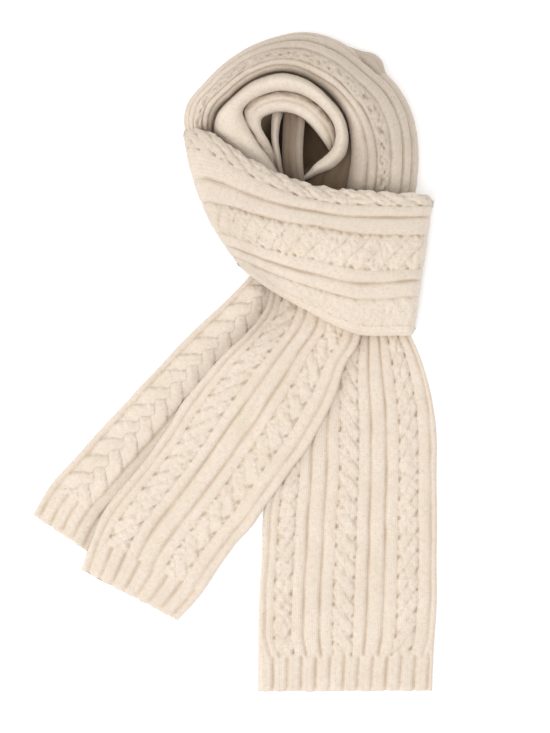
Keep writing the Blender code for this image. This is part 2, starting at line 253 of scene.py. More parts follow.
def path_knots(first, second):
    """Distance along the middle of a stretch, from its two edges."""
    middle = (first + second) / 2
    steps = np.hypot(*np.diff(middle, axis=0).T)
    return np.concatenate([[0.0], np.cumsum(steps)])


def ease(share):
    """A soft step from 0 to 1."""
    share = np.clip(share, 0, 1)
    return share * share * (3 - 2 * share)


ridges = {"ridge": np.array([11.0, 24.0, 34.0])}
between = smooth_columns(ridges, np.array([0.0, 10.0, 20.0]), np.array([5.0]))["ridge"][0]
print("halfway between ridges 11 and 24 mm high the curve is", round(float(between), 1), "mm high")

# %% [markdown]
# ## Where one tail lies over another
#
# Cloth that crosses other cloth climbs over it. The front of the left tail lies over the strip
# beneath its pleat and over the edge of the right tail. The height it gains follows from how far
# inside the lower outline each point lies, so one function lifts it softly at every crossing.

# %% Plan and lift of a tail
STITCH_GRID = 1.2  # spacing of the fine grid, about a quarter of a stitch
OUTLINE_ROWS = 24
CLIMB_BEFORE = 7.0  # cloth lies at its full height this far outside the lower outline
CLIMB_SLOPE = 26.0


def tail_table(rows):
    """A tail's columns, and how far along its middle each row lies."""
    table = columns(rows, TAIL_COLUMNS)
    left = np.stack([table["left_x"], table["left_y"]], axis=1)
    right = np.stack([table["right_x"], table["right_y"]], axis=1)
    return table, path_knots(left, right)


def tail_plan(rows, stations, across):
    """Plan points of a tail, [along, across, xy]."""
    found = smooth_columns(*tail_table(rows), stations)
    share = np.linspace(0.0, 1.0, across + 1)
    x = found["left_x"][:, None] * (1 - share) + found["right_x"][:, None] * share
    y = found["left_y"][:, None] * (1 - share) + found["right_y"][:, None] * share
    return np.stack([x, y], axis=2)


def tail_length(rows):
    return tail_table(rows)[1][-1]


def tail_outline(rows):
    """The outline of a tail in plan, as a closed run of points."""
    plan = tail_plan(rows, np.linspace(0, tail_length(rows), OUTLINE_ROWS), 1)
    return np.concatenate([plan[:, 0], plan[::-1, -1]])


def depth_inside(points, outline):
    """How far each point lies inside a closed outline, and negative outside it."""
    flat = points.reshape(-1, 2)
    start = outline
    run = np.roll(outline, -1, axis=0) - start
    gap = np.full(len(flat), 1e9)
    crossings = np.zeros(len(flat), int)
    for (x, y), (dx, dy) in zip(start, run):
        to_x, to_y = flat[:, 0] - x, flat[:, 1] - y
        share = np.clip((to_x * dx + to_y * dy) / (dx * dx + dy * dy), 0, 1)
        gap = np.minimum(gap, np.hypot(to_x - share * dx, to_y - share * dy))
        spans = (y > flat[:, 1]) != (y + dy > flat[:, 1])
        at = x + to_y * dx / (dy if dy else 1e-9)
        crossings += spans & (flat[:, 0] < at)
    return np.where(crossings % 2 == 1, gap, -gap).reshape(points.shape[:2])


def lift_over(plan, lower_rows):
    """Height that cloth gains where it lies over other tails."""
    lift = np.zeros(plan.shape[:2])
    for rows in lower_rows:
        inside = depth_inside(plan, tail_outline(rows))
        lift = np.maximum(lift, ease((inside + CLIMB_BEFORE + CLIMB_SLOPE) / CLIMB_SLOPE))
    return lift * (CLOTH + SEAM)


print("the right tail is", round(tail_length(RIGHT_TAIL)), "mm long")

# %% [markdown]
# ## A rolled turn of the coil
#
# A turn is an arch of cloth. From its foot it bulges to the outline, climbs to the ridge and rolls
# over into the gap beside the next turn. The arch is drawn with quarter ellipses and then walked at
# an even pace, so that the knit on it isn't stretched where the arch is steep.

# %% One arch, and the grid of a whole turn
ARCH_POINTS = 24  # points on each quarter ellipse
ROLL_ROWS = 16  # rows of the grid on an end that rolls down
THIN_END = 0.2  # share of its thickness that cloth keeps where it is rolled down


def arch_section(width, foot, ridge, inner, ridge_at, bulge, tuck, samples):
    """Distance across, height and length along the cloth of one coiled section."""
    quarter = np.linspace(0, math.pi / 2, ARCH_POINTS)
    reach = ridge_at * width
    roll = width - reach
    bulge = min(bulge, (ridge - foot) * 0.5)
    fall = min(roll * 1.1, ridge - inner - 1)
    h = [tuck * (1 - np.sin(quarter)), reach * (1 - np.cos(quarter)), reach + roll * np.sin(quarter)]
    z = [
        foot + bulge * (1 - np.cos(quarter)),
        foot + bulge + (ridge - foot - bulge) * np.sin(quarter),
        ridge - fall * (1 - np.cos(quarter)),
    ]
    h = np.concatenate(h + [[width - tuck * 0.3]])
    z = np.concatenate(z + [[inner]])
    steps = np.concatenate([[0.0], np.cumsum(np.hypot(np.diff(h), np.diff(z)))])
    even = np.linspace(0, steps[-1], samples + 1)
    return np.interp(even, steps, h), np.interp(even, steps, z), even


def end_roll(stations, length, start_roll, finish_roll):
    """How much of its height a stretch keeps near an end that rolls down to its foot."""
    keep = np.ones_like(stations)
    for radius, distance in ((start_roll, stations), (finish_roll, length - stations)):
        if radius:
            away = np.clip(1 - distance / radius, 0, 1)
            keep = np.minimum(keep, np.sqrt(1 - away**2))
    return keep


def corner_cut(distance, radius):
    """How far a rounded corner keeps back from the edge, at a distance from the end."""
    away = np.clip(1 - distance / radius, 0, 1)
    return radius * (1 - np.sqrt(1 - away**2))


def coil_grid(rows, along, across, bulge=9.0, tuck=4.0, start_roll=0.0, finish_roll=0.0, corners=()):
    """Points on a coiled stretch, shares and lengths across it, lengths along it and thinness."""
    table = columns(rows, COIL_COLUMNS)
    outer = np.stack([table["outer_x"], table["outer_y"]], axis=1)
    inner = np.stack([table["inner_x"], table["inner_y"]], axis=1)
    knots = path_knots(outer, inner)
    length = knots[-1]
    turn = np.linspace(0, math.pi / 2, ROLL_ROWS + 1)
    stations = np.linspace(start_roll, length - finish_roll, along + 1)
    if start_roll:
        stations = np.concatenate([start_roll * (1 - np.cos(turn[:-1])), stations])
    if finish_roll:
        stations = np.concatenate([stations, length - finish_roll * (1 - np.cos(turn[-2::-1]))])
    found = smooth_columns(table, knots, stations)
    keep = end_roll(stations, length, start_roll, finish_roll)
    thin = np.repeat(THIN_END + (1 - THIN_END) * keep[:, None], across + 1, axis=1)
    grid = np.empty((len(stations), across + 1, 3))
    shares = np.empty(grid.shape[:2])
    lengths = np.empty(grid.shape[:2])
    for i in range(len(stations)):
        start = np.array([found["outer_x"][i], found["outer_y"][i]])
        end = np.array([found["inner_x"][i], found["inner_y"][i]])
        width = np.linalg.norm(end - start)
        toward = (end - start) / width
        aside = np.array([-toward[1], toward[0]])
        sizes = [found[name][i] for name in ("foot", "ridge", "inner", "ridge_at")]
        h, z, run = arch_section(width, *sizes, bulge, tuck, across)
        cuts = [0.0, 0.0, 0.0, 0.0]
        if corners:
            away = (stations[i], stations[i], length - stations[i], length - stations[i])
            cuts = [corner_cut(distance, radius) for distance, radius in zip(away, corners)]
        low, high = cuts[0] + cuts[2], cuts[1] + cuts[3]
        h = low + h * (1 - (low + high) / width)
        swell = found["bow"][i] * 4 * (h / width) * (1 - h / width)
        grid[i, :, :2] = start + toward * h[:, None] + aside * swell[:, None]
        grid[i, :, 2] = found["foot"][i] + (z - found["foot"][i]) * keep[i]
        shares[i] = h / width
        lengths[i] = run
    # An end that rolls down is longer along the cloth than it is in plan.
    steps = np.linalg.norm(np.diff(grid[:, across // 2], axis=0), axis=1)
    walked = np.concatenate([[0.0], np.cumsum(steps)])
    return grid, shares, lengths, walked, thin


arch = arch_section(50, 0.5, 40, 16, 0.7, 9, 4, ARCH_POINTS)
print("an arch 50 mm wide and 40 mm high takes", round(arch[2][-1]), "mm of cloth")

# %% [markdown]
# ## Charting the knit
#
# A knitter reads a chart from side to side: so many stitches of rib, a cable, a plain rib. Each
# chart here is the same list, with the width of every column in millimetres. Between two columns
# the purl stitches sink into a groove, deep beside a plain rib and shallow beside a cable. A rope
# cable is two strands that trade places every `CABLE_PERIOD`, leaving a small hole at each side of
# the crossing. The big plait has three strands. Both come from the way strands really move: side
# to side as a cosine, over and under as a sine, with the higher strand winning.

# %% Soft noise, grooves and strands
STITCH_WIDTH = 4.5
ROW_HEIGHT = 3.4
CABLE_PERIOD = 24.4
PLAIT_PERIOD = 86.0
NOISE_CELLS = 64
GROOVE_REACH = 2.5
GROOVE_SHARE = 0.86  # brushing fills the grooves a little
CREASE_REACH = 0.45
ROPE_CREASE = 0.6
ROPE_CROWN = 1.9  # height of a rope's strands where they lie side by side
ROPE_RISE = 1.0  # how much further the upper strand climbs, and the lower one sinks
HOLE_DEPTH = 2.3
HOLE_REACH = 2.3
PLAIT_CREASE = 1.0
PLAIT_CROWN = 2.3
PLAIT_RISE = 1.4
HEM_CROWN = 0.7
HEM_GROOVE = 3.3

GROOVE_DEPTH = {
    ("plain", "rib"): 3.2,
    ("plain", "cable"): 2.3,
    ("plain", "plait"): 2.9,
    ("plain", "plain"): 2.3,
    ("rib", "rib"): 2.4,
    ("cable", "rib"): 0.7,
    ("mottled", "rib"): 1.5,
    ("mottled", "plain"): 2.3,
    ("edge", "rib"): 2.1,
    ("edge", "plait"): 1.6,
    ("mottled", "smooth"): 2.6,
    ("edge", "flat cable"): 1.0,
    ("flat cable", "plain"): 2.0,
}
CABLE_STRENGTH = {"cable": 1.0, "flat cable": 0.4}  # a cable pulled flat stands out less


def soft_noise(x, y, size, seed):
    """Smooth random values from -1 to 1 that change over `size` millimetres."""
    table = np.random.default_rng(seed).uniform(-1, 1, (NOISE_CELLS, NOISE_CELLS))
    x, y = x / size, y / size
    column, row = np.floor(x).astype(int), np.floor(y).astype(int)
    fx, fy = ease(x - column), ease(y - row)
    corner = [
        [table[(row + j) % NOISE_CELLS, (column + i) % NOISE_CELLS] for i in (0, 1)] for j in (0, 1)
    ]
    low = corner[0][0] * (1 - fx) + corner[0][1] * fx
    high = corner[1][0] * (1 - fx) + corner[1][1] * fx
    return low * (1 - fy) + high * fy


def strand(x, centre, half_width, crown):
    """Height of one strand, rounded at its sides and nearly flat on top."""
    return crown * np.sqrt(np.clip(1 - np.abs((x - centre) / half_width) ** 2.6, 0, 1))


def laid_over(strands, crease):
    """The highest strand wins, and a crease follows the line where one passes under another."""
    strands = np.sort(np.stack(strands), axis=0)
    close = np.exp(-(((strands[-1] - strands[-2]) / CREASE_REACH) ** 2))
    return strands[-1] - crease * close * (strands[-2] > 0.2)


def rope_cable(x, v, width, hand):
    """Two strands that cross every CABLE_PERIOD, with a hole at each side of the crossing."""
    phase = math.pi * v / CABLE_PERIOD
    strands = []
    for k in (0, 1):
        turn = phase + k * math.pi
        crown = ROPE_CROWN + ROPE_RISE * np.sin(turn)
        centre = hand * width * 0.21 * np.cos(turn)
        strands.append(strand(x, centre, width * 0.31, crown))
    height = laid_over(strands, ROPE_CREASE)
    at_crossing = np.exp(-((np.cos(phase + 0.05 * x) / 0.32) ** 2))
    beside = np.exp(-(((np.abs(x) - width * 0.46) / HOLE_REACH) ** 2))
    return height - HOLE_DEPTH * at_crossing * beside


def plait(x, v, width):
    """Three strands plaited, so that the upper ones fan outwards like a row of arrowheads."""
    strands = []
    for k in range(3):
        turn = 2 * math.pi * (v / PLAIT_PERIOD + k / 3)
        crown = PLAIT_CROWN + PLAIT_RISE * np.sin(2 * turn)
        strands.append(strand(x, width * 0.29 * np.sin(turn), width * 0.23, crown))
    return laid_over(strands, PLAIT_CREASE)


def knit_relief(chart, c, v, seed):
    """Height of the knit above its mean face, for a chart of (kind, width) columns."""
    wander = 0.9 * soft_noise(c * 0.2, v, 55, seed) + 0.35 * soft_noise(c, v, 14, seed + 1)
    c = c + wander
    lumps = 0.9 * soft_noise(c, v, 5.2, seed + 2) + 0.6 * soft_noise(c, v, 3.1, seed + 7)
    height = 0.22 * lumps + 0.3 * soft_noise(c, v, 21, seed + 3)
    edge = 0.0
    before = None
    hand = 1
    for kind, width in chart:
        if before:
            depth = GROOVE_DEPTH.get((before, kind)) or GROOVE_DEPTH[(kind, before)]
            uneven = 1 + 0.35 * soft_noise(c * 0, v, 27, seed + int(edge))
            height -= GROOVE_SHARE * depth * uneven * np.exp(-(((c - edge) / GROOVE_REACH) ** 2))
        x = c - edge - width / 2
        inside = np.abs(x) < width / 2
        if kind in CABLE_STRENGTH:
            rope = rope_cable(x, v + 7 * edge + 1.2 * lumps, width, hand) - 0.9 + lumps
            height += np.where(inside, CABLE_STRENGTH[kind] * rope, 0)
            hand = -hand
        elif kind == "plait":
            strands = plait(x, v + 1.2 * lumps, width) - 1.2 + 0.35 * lumps
            height += np.where(inside, strands, 0)
        elif kind == "mottled":
            bumps = 0.5 * np.cos(2 * math.pi * (v / CABLE_PERIOD + x / width)) + 1.6 * lumps
            height += np.where(inside, bumps * ease(1.4 - 2.8 * np.abs(x) / width), 0)
        elif kind in ("plain", "rib", "edge"):
            height += np.where(inside, 0.5 - 0.9 * (2 * x / width) ** 2, 0)
        edge += width
        before = kind
    return height


def hem_relief(c, v, pitch, first, seed):
    """Two-by-two rib: round ribs with a purl groove between them, the first groove at `first`."""
    c = c - first + 0.8 * soft_noise(c * 0.2, v, 30, seed + 4)
    across = np.abs((c / pitch + 0.5) % 1 - 0.5) * pitch
    groove = np.exp(-((across / 2.7) ** 2))
    mid = np.exp(-(((pitch / 2 - across) / 1.3) ** 2))
    uneven = 1 + 0.3 * soft_noise(np.round(c / pitch) * 40, v, 19, seed + 10)
    lumps = 0.3 * soft_noise(c, v, 4.6, seed + 5)
    return HEM_CROWN - HEM_GROOVE * groove * uneven - 0.3 * mid + lumps


across_rope, along_rope = np.meshgrid(np.linspace(-11, 11, 45), np.linspace(0, CABLE_PERIOD, 45))
rope = rope_cable(across_rope, along_rope, 22, 1)
print("a rope cable rises and falls by", round(float(np.ptp(rope)), 1), "mm")

# %% [markdown]
# ## From a chart to a mesh
#
# The upper face carries all the relief, so it gets a fine grid. Nothing shows of the underside,
# so it gets a grid six times coarser, and the two meet at the rim in faces with many corners.
# Every piece keeps two UV maps: `cloth` is in metres along and across the knit, for the stitches,
# and `OFBake` spreads the faces over a square, for whoever bakes the material later. A `cavity`
# attribute keeps how deep each point lies, so that the material can paint the shade that falls
# in a groove, darker and browner.

# %% Build one knitted piece
COARSE = 6


def grid_normals(grid):
    """Unit normals of a grid of points, on the side that faces up or away from the coil."""
    normal = soften(np.cross(np.gradient(grid, axis=1), np.gradient(grid, axis=0)), 4)
    length = np.linalg.norm(normal, axis=2, keepdims=True)
    normal = normal / np.maximum(length, 1e-9)
    return -normal if normal[..., 2].sum() < 0 else normal


def soften(values, times):
    """The values with small steps smoothed away along both directions."""
    for _ in range(times):
        for axis in (0, 1):
            before = np.roll(values, 1, axis=axis)
            after = np.roll(values, -1, axis=axis)
            ends = [slice(None)] * values.ndim
            for end in (0, -1):
                ends[axis] = end
                before[tuple(ends)] = values[tuple(ends)]
                after[tuple(ends)] = values[tuple(ends)]
            values = values * 0.5 + (before + after) * 0.25
    return values


def rim_of(rows, across):
    """Indices round the border of a grid, in order."""
    rim = [(i, 0) for i in range(rows)]
    rim += [(rows - 1, j) for j in range(1, across)]
    rim += [(i, across - 1) for i in range(rows - 2, -1, -1)]
    rim += [(0, j) for j in range(across - 2, 0, -1)]
    return rim


def quads_of(index):
    """Four corners for each cell of a grid of point numbers."""
    a, b = index[:-1, :-1], index[1:, :-1]
    d, e = index[1:, 1:], index[:-1, 1:]
    return np.stack([a, b, d, e], axis=2).reshape(-1, 4)


def even_spread(rows, across):
    """Points spread evenly over a unit square, one for each point of a grid."""
    spread = np.meshgrid(np.linspace(0, 1, across), np.linspace(0, 1, rows))
    return np.stack(spread, axis=2).reshape(-1, 2)


def on_both_faces(values):
    """The values on the fine grid, then those on the coarse grid under it."""
    kept = values.shape[2:]
    return np.concatenate([values.reshape(-1, *kept), values[::COARSE, ::COARSE].reshape(-1, *kept)])


def knitted_mesh(name, top, bottom, c, v, cavity, shade):
    """A closed mesh between a fine upper grid and a coarse lower one."""
    rows, across = top.shape[:2]
    low_rows, low_across = bottom.shape[:2]
    points = np.concatenate([top.reshape(-1, 3), bottom.reshape(-1, 3)])
    points = (points - (*ORIGIN, 0.0)) * MM
    upper = np.arange(rows * across).reshape(rows, across)
    lower = rows * across + np.arange(low_rows * low_across).reshape(low_rows, low_across)
    upper_quads, lower_quads = quads_of(upper), quads_of(lower)[:, ::-1]
    fine = [upper[i, j] for i, j in rim_of(rows, across)]
    coarse = [lower[i, j] for i, j in rim_of(low_rows, low_across)]
    sides = []
    side_spots = []
    for k in range(len(coarse)):
        chain = [fine[(k * COARSE + n) % len(fine)] for n in range(COARSE + 1)]
        sides.append(chain[::-1] + [coarse[k], coarse[(k + 1) % len(coarse)]])
        side_spots += [(k * COARSE + n, 1.0) for n in range(COARSE, -1, -1)]
        side_spots += [(k * COARSE, 0.0), ((k + 1) * COARSE, 0.0)]
    faces = upper_quads.tolist() + lower_quads.tolist() + sides
    # A grid may run either way round, so the whole is flipped if its upper face looks down.
    looks_down = upward_area(points, upper_quads) < 0
    if looks_down:
        faces = [face[::-1] for face in faces]
    mesh = bpy.data.meshes.new(name)
    mesh.from_pydata(points.tolist(), [], faces)
    upper_spread = even_spread(rows, across) * (0.98, 0.84) + (0.01, 0.01)
    lower_spread = even_spread(low_rows, low_across) * (0.98, 0.10) + (0.01, 0.87)
    bake = np.concatenate([upper_spread, lower_spread])
    cloth = on_both_faces(np.stack([c, v], axis=2)) * MM
    corner = np.empty(len(mesh.loops), np.int32)
    mesh.loops.foreach_get("vertex_index", corner)
    at_bake = bake[corner]
    spots = np.array(side_spots, float)
    if looks_down:
        size = COARSE + 3
        spots = spots.reshape(-1, size, 2)[:, ::-1].reshape(-1, 2)
    side_bake = np.stack([0.01 + 0.98 * spots[:, 0] / len(fine), 0.98 + 0.015 * spots[:, 1]], axis=1)
    at_bake[-len(side_bake) :] = side_bake
    for title, values in (("cloth", cloth[corner]), ("OFBake", at_bake)):
        layer = mesh.uv_layers.new(name=title)
        layer.uv.foreach_set("vector", values.astype(np.float32).ravel())
    for title, values in (("cavity", cavity), ("shade", shade)):
        attribute = mesh.attributes.new(title, "FLOAT", "POINT")
        attribute.data.foreach_set("value", on_both_faces(values).astype(np.float32))
    mesh.shade_smooth()
    return mesh


def upward_area(points, quads):
    """Positive if most of the upper faces look up."""
    a, b, d = points[quads[:, 0]], points[quads[:, 1]], points[quads[:, 2]]
    return np.cross(b - a, d - a)[:, 2].sum()


def round_off(height, distance, radius, depth):
    """Lets the face roll down to the underside near an edge."""
    away = np.clip(1 - distance / radius, 0, 1)
    return height - depth * (1 - np.sqrt(1 - away**2))


def knitted_piece(name, grid, c, v, relief, cloth, shade, flat_base=None):
    """An object whose upper face is the grid raised by its relief."""
    normal = soften(grid_normals(grid), 3)
    normal /= np.linalg.norm(normal, axis=2, keepdims=True)
    top = grid + normal * relief[..., None]
    if flat_base is None:
        under = grid - normal * cloth
    else:
        under = np.concatenate([grid[..., :2], flat_base[..., None]], axis=2)
    bottom = under[::COARSE, ::COARSE]
    # depth below the softened relief, which the material turns into painted shade in the grooves
    cavity = relief - soften(relief, 14)
    mesh = knitted_mesh(name, top, bottom, c, v, cavity, shade)
    piece = bpy.data.objects.new(name, mesh)
    bpy.context.scene.collection.objects.link(piece)
    print(name, "points", len(mesh.vertices), "faces", len(mesh.polygons))
    return piece


def whole_steps(length, spacing):
    """Number of grid cells over a length, as a multiple of COARSE."""
    return COARSE * max(1, round(length / spacing / COARSE))

# %% [markdown]
# ## The tails
#
# Three cable panels cross the strip, with a plain rib between each two. The right tail shows them
# all. The left tail is pleated lengthwise: two panels lie in front, and the third, with a big
# plait, slides out to the left from under the pleat. Each tail ends in a two-by-two ribbed hem,
# which draws in a little where it meets the cables.

# %% Charts and meshes of the tails
RIGHT_CHART = (
    ("edge", 8.5),
    ("rib", 10),
    ("cable", 22),
    ("rib", 15),
    ("plain", 20),
    ("rib", 15.5),
    ("cable", 26),
    ("rib", 16),
    ("plain", 20),
    ("rib", 16),
    ("cable", 25.5),
    ("rib", 16),
    ("edge", 7.5),
)
LEFT_CHART = (
    ("edge", 9),
    ("rib", 9),
    ("cable", 25),
    ("rib", 13),
    ("plain", 19),
    ("rib", 13),
    ("cable", 25),
    ("rib", 14),
    ("edge", 11),
)
UNDER_CHART = (
    ("edge", 8),
    ("plait", 52),
    ("plain", 17),
    ("rib", 33),
)
SELVEDGE_PITCH = 6.8
SHADE_FROM_COIL = 190.0  # the coil dims the cloth beside it this far along a tail


def chart_width(chart):
    return sum(width for _, width in chart)


def frayed_edges(plan, c, v, width, length, pitch, first, seed):
    """Small shifts in plan: the selvedges waver, and each hem rib ends in a round tip."""
    along = np.gradient(plan, axis=0)
    along /= np.linalg.norm(along, axis=2, keepdims=True)
    side = np.stack([-along[..., 1], along[..., 0]], axis=2)
    waver = 0.12 * np.cos(2 * math.pi * v / SELVEDGE_PITCH) + 0.5 * soft_noise(v, c * 0, 26, seed + 8)
    near_side = ease(1 - np.minimum(c, width - c) / 9.0) * np.sign(c - width / 2)
    tips = 1.3 * np.abs(np.sin(math.pi * (c - first) / pitch)) - 0.7
    tips = tips + 0.6 * soft_noise(c, v * 0, 9, seed + 9)
    near_end = ease((v - length + 12) / 12)
    return side * (waver * near_side)[..., None] + along * (tips * near_end)[..., None]


def dim_beside(plan, v, rows, reach, near_coil, at_end):
    """Cloth is dimmer beside a panel that lies over it, and most so near the coil."""
    near = ease(1 + depth_inside(plan, tail_outline(rows)) / reach)
    return near * (at_end + (near_coil - at_end) * ease(1 - v / SHADE_FROM_COIL))


def dim_corner(c, v, across, along, most):
    """The first corner of a panel is dim, where it comes out from under the coil."""
    return most * ease(1 - c / across) * ease(1 - v / along)


def knitted_tail(
    name, rows, chart, seed, pitch, first=9.0, bend=0.0, over=(), under=None, corner=None
):
    """A tail with its hem as one knitted piece, since the hem is knitted on.

    The hem's ribs are `pitch` apart from `first` on, and the body's ribs `bend` to meet them. The
    tail lies `over` other tails, and is dim `under` one or at the `corner` where it starts.
    """
    length = tail_length(rows)
    width = chart_width(chart)
    along = whole_steps(length, STITCH_GRID)
    across = whole_steps(width, STITCH_GRID)
    stations = np.linspace(0, length, along + 1)
    plan = tail_plan(rows, stations, across)
    base = lift_over(plan, over)
    c, v = np.meshgrid(np.linspace(0, width, across + 1), stations)
    plan = plan + frayed_edges(plan, c, v, width, length, pitch, first, seed)
    # The ribs of the body draw in towards the middle to meet the hem's own ribs.
    drawn = bend * np.cos(math.pi * c / width) * ease((v - length + HEM + 26) / 34)
    body = knit_relief(chart, c - drawn, v, seed)
    hem = hem_relief(c, v, pitch, first, seed)
    in_hem = ease((v - (length - HEM) - 2.5 * soft_noise(c, v, 12, seed + 6) + 3) / 8)
    relief = body * (1 - in_hem) + hem * in_hem
    side = np.minimum(c, width - c)
    relief = round_off(relief, side, 4.0, CLOTH - 1.2)
    end = length - v + 0.6 * np.cos(2 * math.pi * c / pitch)
    relief = round_off(relief, end, 3.5, CLOTH - 1.6)
    relief = np.maximum(relief, 0.6 - CLOTH)
    grid = np.concatenate([plan, (base + CLOTH)[..., None]], axis=2)
    shade = dim_beside(plan, v, *under) if under else dim_corner(c, v, *corner)
    return knitted_piece(name, grid, c, v, relief, CLOTH, shade, flat_base=base + 0.1)


right_tail = knitted_tail(
    "right_tail_knit",
    RIGHT_TAIL,
    RIGHT_CHART,
    11,
    pitch=17.65,
    first=19.1,
    bend=7.0,
    under=(LEFT_TAIL_FRONT, 16, 0.25, 0.1),
)
left_under = knitted_tail(
    "left_under_knit",
    LEFT_TAIL_UNDER,
    UNDER_CHART,
    31,
    pitch=17.0,
    under=(LEFT_TAIL_FRONT, 22, 0.42, 0.2),
)
left_front = knitted_tail(
    "left_front_knit",
    LEFT_TAIL_FRONT,
    LEFT_CHART,
    51,
    pitch=17.0,
    over=(RIGHT_TAIL, LEFT_TAIL_UNDER),
    corner=(75, 110, 0.3),
)

# %% [markdown]
# ## The coil
#
# On a rolled turn the columns of the chart run round the coil, and they crowd together where the
# cloth turns over. So each turn lists where the lines between its columns lie, as a share of its
# width at its start, its middle and its end, and the chart is stretched between those lines.

# %% Charts and meshes of the coil
OUTER_LINES = (
    ("edge", 16, (0.0, 0.0, 0.0)),
    ("rib", 13, (0.05, 0.08, 0.09)),
    ("rib", 16, (0.14, 0.24, 0.21)),
    ("mottled", 28, (0.28, 0.47, 0.38)),
    ("plain", 15, (0.62, 0.76, 0.55)),
    ("plain", 26, (0.84, 0.92, 0.68)),
)
BAND_LINES = (
    ("edge", 13, (0.0, 0.0, 0.0)),
    ("flat cable", 33, (0.05, 0.055, 0.062)),
    ("plain", 19, (0.13, 0.21, 0.277)),
    ("rib", 17, (0.21, 0.32, 0.393)),
    ("cable", 36, (0.30, 0.43, 0.466)),
    ("plain", 27, (0.515, 0.69, 0.706)),
    ("rib", 16, (0.67, 0.796, 0.836)),
    ("cable", 34, (0.86, 0.887, 0.913)),
)
MIDDLE_LINES = (
    ("smooth", 70, (0.0, 0.0, 0.0)),
)
INNER_LINES = (
    ("mottled", 34, (0.0, 0.0, 0.0)),
    ("smooth", 34, (0.52, 0.52, 0.52)),
)
FOLD_LINES = (
    ("smooth", 50, (0.0, 0.0, 0.0)),
)
CORNER_LINES = (
    ("edge", 12, (0.0, 0.0, 0.0)),
    ("rib", 20, (0.3, 0.3, 0.3)),
)
LOWER_LINES = (
    ("rib", 14, (0.0, 0.0, 0.0)),
    ("rib", 14, (0.33, 0.33, 0.33)),
    ("rib", 16, (0.66, 0.66, 0.66)),
)


COIL_GRID = 1.3


def charted_across(lines, shares, lengths):
    """Chart position of each point of a coiled grid, from where the lines lie on each section."""
    rows = len(shares)
    along = np.linspace(0, 1, rows)
    edges = [np.interp(along, (0, 0.5, 1), spots) for _, _, spots in lines]
    chart_edges = np.concatenate([[0.0], np.cumsum([width for _, width, _ in lines])])
    c = np.empty_like(shares)
    for i in range(rows):
        outermost = int(np.argmin(shares[i]))
        climbing = np.maximum.accumulate(shares[i][outermost:])
        marks = [0.0] + [np.interp(edge[i], climbing, lengths[i][outermost:]) for edge in edges[1:]]
        marks.append(lengths[i][-1])
        c[i] = np.interp(lengths[i], marks, chart_edges)
    return c


def knitted_coil(name, rows, lines, seed, dim, cloth=CLOTH, gain=1.0, **shape):
    """A turn of the coil, knitted to its chart.

    `dim` says how dim it is at its outer side, its middle and its inner side, in a few places
    along it, and `gain` how far its knit stands out.
    """
    _, _, lengths, walked, _ = coil_grid(rows, 12, 12, **shape)
    across = whole_steps(lengths[:, -1].max(), COIL_GRID)
    along = whole_steps(walked[-1], COIL_GRID)
    rolls = ROLL_ROWS * sum(1 for key in ("start_roll", "finish_roll") if shape.get(key))
    along = max(COARSE, COARSE * round((along - rolls) / COARSE))
    along += -(along + rolls) % COARSE
    grid, shares, lengths, walked, thin = coil_grid(rows, along, across, **shape)
    c = charted_across(lines, shares, lengths)
    v = np.repeat(walked[:, None], across + 1, axis=1)
    chart = [(kind, width) for kind, width, _ in lines]
    relief = (knit_relief(chart, c, v, seed) * gain - 0.5) * thin
    dim_rows = np.array(dim, float)
    at_row = np.linspace(0, len(dim_rows) - 1, len(grid))
    dims = [np.interp(at_row, range(len(dim_rows)), dim_rows[:, i])[:, None] for i in range(3)]
    share = np.clip(shares, 0, 1)
    shade = dims[0] * np.clip(1 - 2 * share, 0, 1) + dims[2] * np.clip(2 * share - 1, 0, 1)
    shade = shade + dims[1] * (1 - np.abs(2 * share - 1))
    return knitted_piece(name, grid, c, v, relief, cloth * thin[..., None], shade)


outer_turn = knitted_coil(
    "outer_turn_knit",
    leaning_in(OUTER_TURN, LEAN),
    OUTER_LINES,
    71,
    gain=1.3,
    dim=(
        (0.06, 0.06, 0.2),
        (0, 0.06, 0.05),
        (0.12, 0.24, 0.05),
        (0.2, 0.28, 0.05),
        (0.24, 0.26, 0),
        (0.25, 0.22, 0.45),
        (0.12, 0.1, 0.85),
    ),
)
turn_corner = knitted_coil(
    "turn_corner_knit",
    TURN_CORNER,
    CORNER_LINES,
    75,
    cloth=2.2,
    gain=0.6,
    dim=((0.4, 0.35, 0.5),),
    bulge=5.0,
    tuck=1.0,
)
middle_turn = knitted_coil(
    "middle_turn_knit",
    MIDDLE_TURN,
    MIDDLE_LINES,
    81,
    cloth=3.4,
    dim=((0.05, 0, 0), (0, 0, 0), (0.05, 0, 0.05), (0.1, 0.05, 0.1), (0.4, 0.3, 0.3)),
    tuck=1.5,
    finish_roll=4.0,
    corners=(1.0, 1.0, 4.0, 4.0),
)
inner_turn = knitted_coil(
    "inner_turn_knit",
    INNER_TURN,
    INNER_LINES,
    85,
    cloth=2.6,
    gain=0.6,
    dim=((0.7, 0.5, 0.5), (0.35, 0.18, 0.08), (0.05, 0, 0), (0.05, 0, 0), (0.3, 0.15, 0.15)),
    tuck=1.0,
)
fold_left = knitted_coil(
    "centre_fold_left_knit",
    CENTRE_FOLD_LEFT,
    FOLD_LINES,
    91,
    cloth=2.2,
    dim=((0.5, 0.35, 0.6), (0.45, 0.3, 0.5), (0.85, 0.75, 0.85)),
    tuck=0.5,
)
fold_right = knitted_coil(
    "centre_fold_right_knit",
    CENTRE_FOLD_RIGHT,
    LOWER_LINES,
    93,
    cloth=3.0,
    gain=0.8,
    dim=((0.95, 0.9, 0.7), (0.95, 0.85, 0.6), (0.98, 0.9, 0.75)),
    tuck=0.5,
)
lower_fold = knitted_coil(
    "lower_fold_knit",
    LOWER_FOLD,
    LOWER_LINES,
    95,
    cloth=3.2,
    dim=((0.8, 0.9, 1.0), (0.9, 0.97, 1.0), (0.95, 1.0, 1.0)),
    tuck=1.0,
)
